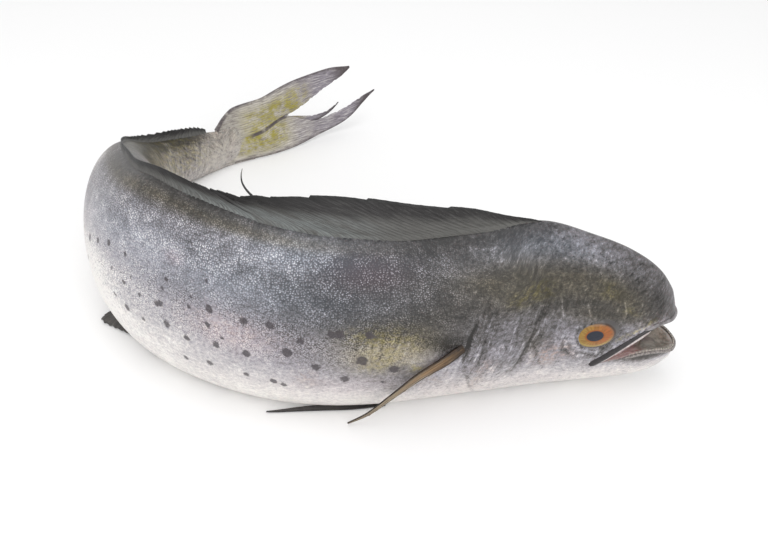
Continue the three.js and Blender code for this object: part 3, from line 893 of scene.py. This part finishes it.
def eye_frame(side):
    """The eye's centre and its axes: along the head, up the cheek and out of it."""
    cheek = float(value_at(HALF_WIDTH, EYE_AT)) + EYE_BULGE - EYE_SIZE[2] / 2
    centre = place(EYE_AT, side * cheek, EYE_UP)
    middle = place(EYE_AT, 0, EYE_UP)
    outward = place(EYE_AT, side, EYE_UP) - middle
    up = place(EYE_AT, 0, EYE_UP + 1) - middle
    return centre, np.cross(outward, up), up, outward


def eye_ball(side, rows=24, columns=64):
    """Points of an eye's flattened ball, with each point's place on it."""
    centre, along, up, outward = eye_frame(side)
    polar = np.linspace(0, np.pi, rows)[:, None]
    turn = np.linspace(0, 2 * np.pi, columns, endpoint=False)[None, :]
    a = np.sin(polar) * np.cos(turn)
    b = np.sin(polar) * np.sin(turn)
    c = np.cos(polar) * np.ones_like(turn)
    half = [size / 2 for size in EYE_SIZE]
    points = (centre + half[0] * a[..., None] * along + half[1] * b[..., None] * up
              + half[2] * c[..., None] * outward)
    return points, a, b


def body_sections():
    """Where the body's sections are: closer on the head and round the gill, where more happens."""
    spans = [(NOSE_START, .12, 118), (.12, .2, 66), (.2, .224, 34), (.224, .45, 110), (.45, .86, 150),
             (.86, 1, 44)]
    places = np.concatenate([[NOSE_START]] + [np.linspace(a, b, n + 1)[1:] for a, b, n in spans])
    shrink = np.linspace(.04, 1, 12, endpoint=False)
    nose = NOSE_START - (1 - shrink ** 2) * NOSE_REACH / BODY_LENGTH
    root = 1 + np.linspace(0, ROOT_REACH, 17)[1:] / BODY_LENGTH
    return np.concatenate([nose, places, root])


GIRTH_STEPS = 176
CREASE = math.radians(38)


def open_mouth(body, angle, flesh_finish):
    """Cuts the mouth out of the body, and leaves the cheeks that close its corners."""
    wedge = make_cutter("wedge", mouth_rings(40, 41), flesh_finish)
    throat = np.linspace(THROAT_START, CHEEK_END, 20)[:, None]
    inset = lerp(THROAT_INSET, CHEEK_THICKNESS, ease(throat, THROAT_START, THROAT_FULL))
    cheeks = make_cutter("cheeks", skin(throat, angle[None, ::2], -inset)[0], flesh_finish)
    cut(wedge, cheeks)
    cut(body, wedge)
    bpy.data.objects.remove(wedge)
    bpy.data.objects.remove(cheeks)


def mouth_fields(places, away, u):
    """How white and fleshy the mouth's lining is, and how much painted shade darkens it deep inside, from the
    distance to the skin and the height.
    """
    low, high = value_at(LOWER_RIM, u), value_at(UPPER_LIP, u)
    gape = (own_height(places, u) - low) / (high - low)
    near_skin = (1 - ease(away, 1.2, 2.6)) * (1 - ease(u, .04, .06))
    return {
        "whiteness": np.maximum(ease(gape, .55, .85), near_skin),
        "fleshy": ease(u, .03, .045),
        # Painted shade, growing with the distance inside the skin
        "throat_shade": ease(away, 8, 16),
    }


def make_body(skin_finish, flesh_finish):
    """The skin of the head, trunk and stalk, with the open mouth cut in."""
    angle = np.pi * (2 * np.arange(GIRTH_STEPS) / GIRTH_STEPS - 1)
    points, u, share = hull(body_sections()[:, None], angle[None, :])
    side = np.broadcast_to(np.sign(np.cos(angle)) * np.abs(np.cos(angle)) ** .5, u.shape)
    steps = np.linalg.norm(np.diff(points, axis=1, append=points[:, :1]), axis=-1)
    around = np.cumsum(steps, axis=1)
    around -= around[:, GIRTH_STEPS // 4][:, None]
    flat_points, faces = closed_loft(points)
    body = face_out(mesh_object("fish_body", flat_points, faces, skin_finish))
    tree = kdtree.KDTree(len(flat_points))
    for index, point in enumerate(flat_points):
        tree.insert(Vector(point * MM), index)
    tree.balance()
    open_mouth(body, angle, flesh_finish)

    # Each point of the cut mesh takes its fields from the nearest point of the whole skin
    mesh = body.data
    nearest = np.array([tree.find(v.co)[1] for v in mesh.vertices])
    u, share, side, around = (with_ends(rows, rows)[nearest] for rows in (u, share, side, around))
    places = np.array([v.co for v in mesh.vertices]) / MM
    away = np.linalg.norm(places - flat_points[nearest], axis=-1)
    flat = np.stack([u * BODY_LENGTH, around, 0 * u], -1) * MM
    slanted = flat + np.stack([.27 * around, 0 * u, 0 * u], -1) * MM
    write_fields(mesh, skin_fields(u, share, side))
    write_fields(mesh, mouth_fields(places, away, u))
    write_fields(mesh, {"flat": flat, "slanted": slanted})
    mesh.polygons.foreach_set("use_smooth", [True] * len(mesh.polygons))
    mesh.set_sharp_from_angle(angle=CREASE)
    return dress(body, "skin", "body")


# Lips and teeth

def rim_path(level, last):
    """The mouth's rim on the skin, from one corner round the tip of the snout or jaw to the other."""
    middle = (value_at(BACK, NOSE_START) + value_at(BELLY, NOSE_START)) / 2
    half = (value_at(BACK, NOSE_START) - value_at(BELLY, NOSE_START)) / 2
    tip = abs(float(value_at(level, 0)) - middle) / half
    shrink = np.linspace(tip, 1, 14)
    nose = NOSE_START - (1 - shrink ** 2) * NOSE_REACH / BODY_LENGTH
    sections = np.concatenate([nose, np.linspace(NOSE_START, last, 60)[1:]])
    heights = value_at(level, np.maximum(sections, 0))
    right, left = (skin_at_height(sections, heights, side) for side in (1, -1))
    return np.concatenate([right[::-1], left])


def make_lip(name, level, last, radius, lift, finish):
    """A lip along the mouth's rim, which thins out towards both corners."""
    path = rim_path(level, last)
    path[:, 2] += lift
    t = np.linspace(-1, 1, len(path))
    size = radius * (1 - ease(np.abs(t), .75, 1) * .8)
    dress(tube_object(name, path, size, size, finish), "skin")


TOOTH_SPACING = 1.9
TOOTH_HEIGHT = 1.3
TOOTH_RADIUS = .36


def make_teeth(finish):
    """Small cones along the jaw's rim."""
    path = rim_path(LOWER_RIM, .05)
    run = np.concatenate([[0], np.cumsum(np.linalg.norm(np.diff(path, axis=0), axis=-1))])
    at = np.arange(TOOTH_SPACING / 2, run[-1], TOOTH_SPACING)
    roots = np.stack([np.interp(at, run, path[:, k]) for k in range(3)], -1)
    middle = path.mean(axis=0)
    turn = np.linspace(0, 2 * np.pi, 6, endpoint=False)
    ring = np.stack([np.cos(turn), np.sin(turn), 0 * turn], -1) * TOOTH_RADIUS
    points, faces = [], []
    for i, root in enumerate(roots):
        inwards = unit((middle - root) * (1, 1, 0))
        root = root + inwards * .5 + (0, 0, .5)
        tip = root + (0, 0, TOOTH_HEIGHT * (.8 + .2 * math.cos(2.4 * i))) + inwards * .4
        first = len(points)
        points += [*(root + ring), tip, root - (0, 0, .4)]
        faces += [(first + j, first + (j + 1) % 6, first + 6) for j in range(6)]
        faces += [(first + (j + 1) % 6, first + j, first + 7) for j in range(6)]
    dress(mesh_object("teeth", points, faces, finish, smooth=False), "skin")


def make_lip_bone_and_shadow(side, hand, dark_finish, pale_finish):
    """The maxilla's dark edge along the upper lip, widening to a round end, in one dark strip with the
    painted shadow under it; and a pale strip inside it.
    """
    u = np.linspace(.023, .0895, 46)
    t = np.linspace(0, 1, len(u))
    outward = upright(.05, side, 0) - upright(.05, 0, 0)
    half = lerp(.75, 2.2, ease(t, 0, .85)) * np.sqrt(np.clip((1 - t) / .05, 0.02, 1)) * ease(t, -.2, .12)
    path = skin_at_height(u, value_at(UPPER_LIP, u) - half * .3, side) + outward * .2
    # This dark strip is the maxilla's edge and the painted shadow under it
    bone_and_shadow = tube_object(f"{hand}_lip_bone", path, half, .9 * ease(half, 0, 1), dark_finish, outward)
    dress(bone_and_shadow, "black_fin")
    u = np.linspace(.03, .083, 36)
    t = np.linspace(0, 1, len(u))
    half = 1.7 * ease(t, -.1, .2) * (1 - ease(t, .8, 1.1))
    path = skin_at_height(u, value_at(UPPER_LIP, u) - 2.3 - 1.8 * t, side) - outward * .9
    strip = tube_object(f"{hand}_inner_lip", path, half, 1.1 * ease(half, 0, 1), pale_finish, outward)
    dress(strip, "skin")


def make_eye(side, name, finish):
    points, a, b = eye_ball(side)
    radius = np.hypot(a, b)
    turn = np.arctan2(b, a)
    fields = {
        "radius": radius,
        "warm": ease(-a, -.5, .6),
        "lower": ease(-b, -.1, .5),
        "pupil": np.hypot((a - .01) / .3, (b - .06) / .3),
    }
    fields = {key: with_ends(rows[1:-1], rows) for key, rows in fields.items()}
    dial = np.stack([np.cos(turn), np.sin(turn), radius], -1)[1:-1].reshape(-1, 3)
    fields["dial"] = np.vstack([dial, dial[0], dial[-1]])
    ball, faces = closed_loft(points[1:-1])
    return dress(face_out(mesh_object(name, ball, faces, finish, fields)), "eye",
                 "eye_right" if side > 0 else "eye_left")


# Fins

DORSAL = [(.14, .5), (.17, 5), (.21, 13.5), (.26, 19), (.31, 22), (.36, 20), (.39, 16), (.41, 14),
          (.43, 10), (.5, 7), (.6, 6), (.83, 4), (.88, 6.5), (.93, 7.5), (.97, 6.5), (.985, 4)]
DORSAL_START = .14
DORSAL_END = .985
RAY_SPACING = 3.4
RAY_SLOPE = 2.4
# The torn ray: place along the back, height over it, and how far it leans over to the left
TORN_SPINE = [(.405, 9, 0), (.42, 12, 1.5), (.431, 13.8, 5), (.4385, 15, 10), (.442, 16.4, 14)]
# Where the fin's edge is torn: the place along the back, and the share of the height that is lost behind it
TEARS = [(.19, .06), (.232, .05), (.27, .07), (.3, .05), (.335, .1), (.36, .06), (.385, .1), (.4, .3),
         (.45, .1)]


def make_dorsal_fin(finish):
    """The long back fin: rays that lie far back, joined by a membrane with a slightly torn edge."""
    s = np.linspace(DORSAL_START, DORSAL_END, 700)[:, None]
    v = np.linspace(0, 1, 22)[None, :] ** 1.6
    lay = RAY_SLOPE * value_at(DORSAL, s) / BODY_LENGTH * (1 - ease(s, .88, DORSAL_END))
    u = np.minimum(s + lay * v, DORSAL_END)
    lost = .22 * ((s * BODY_LENGTH + 2 * np.sin(s * 90)) / 5.2 % 1) * ease(s, .78, .84)
    for at, share in TEARS:
        lost = lost + share * np.where(s > at, np.exp(-(s - at) * BODY_LENGTH / 7), 0)
    full = value_at(DORSAL, u) * (1 - lost) * ease(s, DORSAL_START - .01, DORSAL_START + .006)
    middle = place(u, .06 * full * v * np.sin(46 * s), value_at(BACK, u) - .6 + full * v)
    rib = ease(np.abs(s * BODY_LENGTH / RAY_SPACING % 1 - .5) * 2, .55, .95) + 0 * v
    fields = {
        "share": v + 0 * s,
        "ray": rib * .6 * ease(s, .2, .3),
        # The paler grey-green patch low on the fin's middle, partly a painted sheen
        "patch": span(u, .31, .5, .05) * (1 - ease(v, .3, .62)),
        "edge": ease(v, .8, 1) + 0 * s,
        "flat": np.stack([full * v * RAY_SLOPE, s * BODY_LENGTH + 0 * v, 0 * u], -1) * MM,
    }
    fillet = 4.4 * np.maximum(0, 1 - full * v / 2.2) ** 2.5 * ease(full, 1, 8)
    thickness = (1.1 - .5 * v) * (.55 + .6 * rib) + fillet
    dress(sheet_object("back_fin", middle, thickness, finish, fields), "dark_fin", "dorsal_fin")


def make_torn_ray(finish):
    """The ray that stands up from the back fin where its membrane is torn."""
    at, up, aside = np.array(TORN_SPINE).T
    t = np.linspace(0, 1, len(at))
    fine = np.linspace(0, 1, 24)
    at, up, aside = (value_at(list(zip(t, row)), fine) for row in (at, up, aside))
    path = place(at, -aside, value_at(BACK, at) + up)
    size = lerp(.8, .12, fine)
    fields = {"share": 1 + 0 * fine, "edge": 1 + 0 * fine}
    spine = tube_object("torn_back_fin_ray", path, size, size * .7, finish, fields=fields)
    dress(spine, "dark_fin")


# The folded belly fin's edges: place along the body and distance from the midline
ANAL_INNER = [(.545, 6.5), (.85, 6.5), (.93, 7)]
ANAL_OUTER = [(.545, 5.2), (.582, 6.5), (.594, 10), (.603, 13), (.614, 17.5), (.624, 21.5),
              (.632, 21.5), (.643, 14), (.68, 11), (.8, 10), (.93, 8)]


def make_anal_fin(finish):
    """The belly fin, folded flat outwards on the surface, with a toothed edge."""
    u = np.linspace(.545, .93, 360)[:, None]
    v = np.linspace(0, 1, 10)[None, :]
    outer = value_at(ANAL_OUTER, u) * (1 - .07 * (u * BODY_LENGTH / 3.5 % 1))
    out = lerp(value_at(ANAL_INNER, u) - 2, outer, v)
    middle = upright(u + 0 * v, out, GROUND_GAP + .45 + .4 * v)
    rib = ease(np.abs((u * BODY_LENGTH + 8 * v) / 3 % 1 - .5) * 2, .5, .95)
    fields = {
        "share": v + 0 * u, "ray": rib, "patch": 0 * out, "edge": 0 * out,
        "flat": np.stack([out, u * BODY_LENGTH + 8 * v, 0 * out], -1) * MM,
    }
    dress(sheet_object("belly_fin", middle, .45 + .3 * rib, finish, fields), "dark_fin", "anal_fin")


# The tail fin's parts, in millimetres behind its root: their reach, their edges' heights, where they are
# golden, how dark the root is, and whether the upper edge (1) or the lower one (0) faces the fork
UPPER_LOBE = {
    "reach": (0, 122), "inward": 0, "dark_root": .5, "gold": (23, 78),
    "low": [(0, 17.5), (18, 19.4), (38, 22.3), (60, 29.5), (74, 34), (93, 40), (110, 47), (122, 53)],
    "high": [(0, 31), (7, 38.5), (16, 45), (41, 51), (74, 56), (101, 58), (122, 54.5)],
}
LOWER_LOBE = {
    "reach": (0, 146), "inward": 1, "dark_root": 0, "gold": (12, 58),
    "low": [(0, 1.6), (20, 1), (50, 1), (77, 2.5), (106, 7), (135, 19.5), (146, 27)],
    "high": [(0, 18), (18, 20), (38, 23), (58, 29), (66, 26), (84, 18), (99, 19), (121, 21.5), (146, 28.2)],
}
TAIL_SHRED = {
    "reach": (58, 109), "inward": 1, "dark_root": 0, "gold": (16, 70),
    "low": [(58, 22), (74, 17), (88, 17.5), (99, 21), (109, 26)],
    "high": [(58, 28), (66, 26.5), (82, 22.6), (97, 23), (109, 26.5)],
}
TAIL_GAP = .6


def tail_middle(behind, up):
    """A point of the tail fin's middle surface, behind the tail base and up from the ground."""
    end, _ = midline_at(1.0)
    along = np.array([-math.cos(TAIL_HEADING), math.sin(TAIL_HEADING)])
    out = tail_bend(behind, up)
    x = end[0] + along[0] * (TAIL_GAP + behind) - along[1] * out
    y = end[1] + along[1] * (TAIL_GAP + behind) + along[0] * out
    return np.stack([x, y, up], -1)


def make_lobe(name, lobe, finish, nodes, aside=0):
    """A part of the tail fin: fine rays that fan from the root, with a ragged edge towards the fork."""
    start, end = lobe["reach"]
    s = np.linspace(0, 1, 300)[:, None]
    v = np.linspace(0, 1, 60)[None, :]
    behind = start + (end - start) * s + 0 * v
    low, high = value_at(lobe["low"], behind), value_at(lobe["high"], behind)
    waves = (np.sin(behind * .9) + np.sin(behind * .37)) ** 2 / 4
    ragged = .7 * waves * ease(s, .3, .5) * (1 - ease(s, .9, 1))
    if lobe["inward"]:
        high = high - ragged
    else:
        low = low + ragged
    up = lerp(low, high, v)
    middle = tail_middle(behind, up)
    middle[..., 1] += aside * lerp(.3, 1, ease(behind, 25, 60))
    rib = ease(np.abs(v * 15 % 1 - .5) * 2, .45, .95) + 0 * s
    thickness = (.9 + .4 * rib) * (1 - .45 * behind / 146) + 5.5 * np.maximum(0, 1 - behind / 36) ** 1.5
    thickness = thickness * (.45 + .55 * ease(np.minimum(v, 1 - v), 0, .075))
    inner = v if lobe["inward"] else 1 - v
    frayed = 1.3 * (1 - ease((1 - inner) * (high - low), .8, 2.4)) * span(behind, 26, 60, 6)
    border = ease(behind, end - 26, end - 6) + .9 * (1 - ease(inner * (high - low), 0, 3.2))
    root = lobe["dark_root"] * (1 - ease(behind, 8, 26))
    fields = {
        "share": behind / end,
        "ray": rib * ease(behind, 8, 30) * .8,
        "patch": span(behind, *lobe["gold"], 11) * ease(inner, .05, .45),
        "edge": np.clip(frayed + border + root, 0, 1),
        "flat": np.stack([behind, up, 0 * up], -1) * MM,
    }
    dress(sheet_object(name, middle, thickness, finish, fields), "tail", *nodes)


# The paired fins: place along the body, distance from the midline, height, and half breadth, from root to tip
PECTORAL = [(.21, 15, 54.5, 1), (.222, 22, 52.5, 2.3), (.24, 25.6, 47.5, 2.9), (.264, 25.3, 38, 2.2),
            (.288, 23.5, 24, 1.4), (.308, 21, 11, .9), (.327, 18.5, 2, .3)]
PELVIC = [(.29, 4.6, 1, 1.2), (.32, 5, 1, 2), (.35, 5.8, 1, 2), (.375, 8.4, 1, 1.5), (.402, 13.5, 1, .4)]
# The way across each fin: along the body, out and up
PECTORAL_ACROSS = (.62, .12, .78)
PELVIC_ACROSS = (.05, 1, .1)
# The frayed rays: where on the fin's rear edge they start, and their length
LOOSE_RAYS = [(.3, 12), (.42, 15), (.5, 11), (.6, 13), (.68, 9)]


def paired_point(rows_of, side, across, s, v):
    """A point of a paired fin's middle: s from root to tip and v across it."""
    last = len(rows_of) - 1
    at, outs, ups, halves = ([(i / last, row[k]) for i, row in enumerate(rows_of)] for k in range(4))
    shift = (2 * v - 1) * value_at(halves, s)
    out = value_at(outs, s) + shift * across[1]
    up = value_at(ups, s) + shift * across[2]
    return place(value_at(at, s) + shift * across[0] / BODY_LENGTH, side * out, up)


def make_paired_fin(name, rows_of, side, across, thick, lowest, finish, slot, node):
    """A pectoral or pelvic fin, laid back along the body and kept above the surface."""
    s = np.linspace(0, 1, 160)[:, None]
    v = np.linspace(0, 1, 16)[None, :]
    middle = paired_point(rows_of, side, across, s, v)
    middle[..., 2] = np.maximum(middle[..., 2], lowest)
    rib = ease(np.abs(v * 6 % 1 - .5) * 2, .4, .9) + 0 * s
    thickness = thick * (1 - .5 * s) * (.6 + .4 * rib)
    fields = {
        "share": s + 0 * v, "ray": rib * .7, "patch": span(v, .3, .8, .15) * (1 - ease(s, .3, .8)),
        "edge": 1 - ease(np.minimum(v, 1 - v) * 4, 0, .8) * ease(s, .18, .42),
        "flat": np.stack([s * 75 + 0 * v, v * 9 + 0 * s, 0 * s * v], -1) * MM,
    }
    dress(sheet_object(name, middle, thickness, finish, fields), slot, node)


def make_loose_rays(side, hand, finish):
    """Frayed rays that hang from the rear edge of the pectoral fin."""
    for i, (at, length) in enumerate(LOOSE_RAYS):
        t = np.linspace(0, 1, 10)
        path = paired_point(PECTORAL, side, PECTORAL_ACROSS, at + t * .12, 0 * t)
        path = path + np.stack([-.35 * t, side * -.1 * t, -.3 * t * t], -1) * length
        path[:, 2] = np.maximum(path[:, 2], .6)
        fields = {"share": 1 + 0 * t}
        name = f"{hand}_loose_ray_{i + 1}"
        ray = tube_object(name, path, lerp(.4, .12, t), lerp(.3, .1, t), finish, sides=6, fields=fields)
        dress(ray, "brown_fin")


def build_fish():
    make_body(skin_material(), flesh_material())
    lip_skin = plain_wet("upper_lip_skin", (84, 80, 80), (140, 136, 138))
    jaw_skin = plain_wet("jaw_rim_skin", (86, 80, 77), (150, 142, 138), scale=900)
    make_lip("upper_lip", UPPER_LIP, .04, 1.1, .3, lip_skin)
    make_lip("lower_lip", LOWER_RIM, .06, .9, -.3, jaw_skin)
    make_teeth(plain_wet("tooth_ivory", (176, 168, 154), (208, 200, 188), scale=900))
    # The lip's dark strip stands for the maxilla's edge and the painted shadow under it
    bone_and_shadow = plain_wet("dark_lip_bone", (20, 16, 19), (44, 38, 40), scale=700, coat=.1)
    pale = plain_wet("pale_inner_lip", (168, 152, 150), (212, 204, 202), scale=500)
    eye = eye_material()
    brown = fin_material("brown_fin_membrane")
    black = fin_material("black_fin_membrane")
    for side, hand in ((1, "right"), (-1, "left")):
        make_eye(side, f"{hand}_eye", eye)
        make_lip_bone_and_shadow(side, hand, bone_and_shadow, pale)
        make_paired_fin(f"{hand}_pectoral_fin", PECTORAL, side, PECTORAL_ACROSS, 1.7, 1.6, brown, "brown_fin",
                        f"pectoral_fin_{hand}")
        make_loose_rays(side, hand, brown)
        make_paired_fin(f"{hand}_pelvic_fin", PELVIC, side, PELVIC_ACROSS, .9, .8, black, "black_fin",
                        f"pelvic_fin_{hand}")
    dark = fin_material("back_fin_membrane")
    make_dorsal_fin(dark)
    make_torn_ray(dark)
    make_anal_fin(fin_material("dark_fin_membrane"))
    tail = fin_material("tail_membrane")
    make_lobe("upper_tail_lobe", UPPER_LOBE, tail, ["tail_lobe_upper"])
    make_lobe("lower_tail_lobe", LOWER_LOBE, tail, ["tail_lobe_lower"], aside=-.5)
    make_lobe("tail_shred", TAIL_SHRED, tail, [], aside=.3)


# Stage

def make_floor():
    s = Shader("pale_floor")
    s.set(Base_Color=(.93, .93, .93, 1), Roughness=.9)
    size = 6
    mesh = bpy.data.meshes.new("floor")
    corners = [(-size, -size, 0), (size, -size, 0), (size, size, 0), (-size, size, 0)]
    mesh.from_pydata(corners, [], [(0, 1, 2, 3)])
    mesh.materials.append(s.material)
    floor = bpy.data.objects.new("floor", mesh)
    bpy.context.scene.collection.objects.link(floor)


def make_light(name, location, target, size, watts):
    data = bpy.data.lights.new(name, "AREA")
    data.shape = "SQUARE"
    data.size = size
    data.energy = watts
    light = bpy.data.objects.new(name, data)
    light.location = location
    light.rotation_euler = (Vector(target) - Vector(location)).to_track_quat("-Z", "Y").to_euler()
    bpy.context.scene.collection.objects.link(light)


def make_studio():
    world = bpy.data.worlds.new("studio")
    world.use_nodes = True
    world.node_tree.nodes["Background"].inputs["Color"].default_value = (1, 1, 1, 1)
    world.node_tree.nodes["Background"].inputs["Strength"].default_value = .75
    bpy.context.scene.world = world
    make_light("above", (-.2, -.3, 1.4), (0, 0, .05), 1.4, 9)
    make_light("front", (.5, -1.4, .7), (0, -.1, .05), 1.2, 7)
    bpy.context.scene.view_settings.view_transform = "Standard"


# The camera's place beside and above the snout, its tilt and its field of view, from the outline
CAMERA_FROM_SNOUT = (-158.8, -381.3)
CAMERA_HEIGHT = 354.8
CAMERA_DOWN = 35.95
FOCAL_PIXELS = 900
FRAME_PIXELS = 768


def make_camera():
    data = bpy.data.cameras.new("camera")
    data.sensor_width = 36
    data.lens = data.sensor_width * FOCAL_PIXELS / FRAME_PIXELS
    data.clip_start = .01
    camera = bpy.data.objects.new("camera", data)
    camera.location = ((SNOUT[0] + CAMERA_FROM_SNOUT[0]) * MM, (SNOUT[1] + CAMERA_FROM_SNOUT[1]) * MM,
                       CAMERA_HEIGHT * MM)
    camera.rotation_euler = (math.radians(90 - CAMERA_DOWN), 0, 0)
    bpy.context.scene.collection.objects.link(camera)
    bpy.context.scene.camera = camera


build_fish()
make_floor()
make_studio()
make_camera()
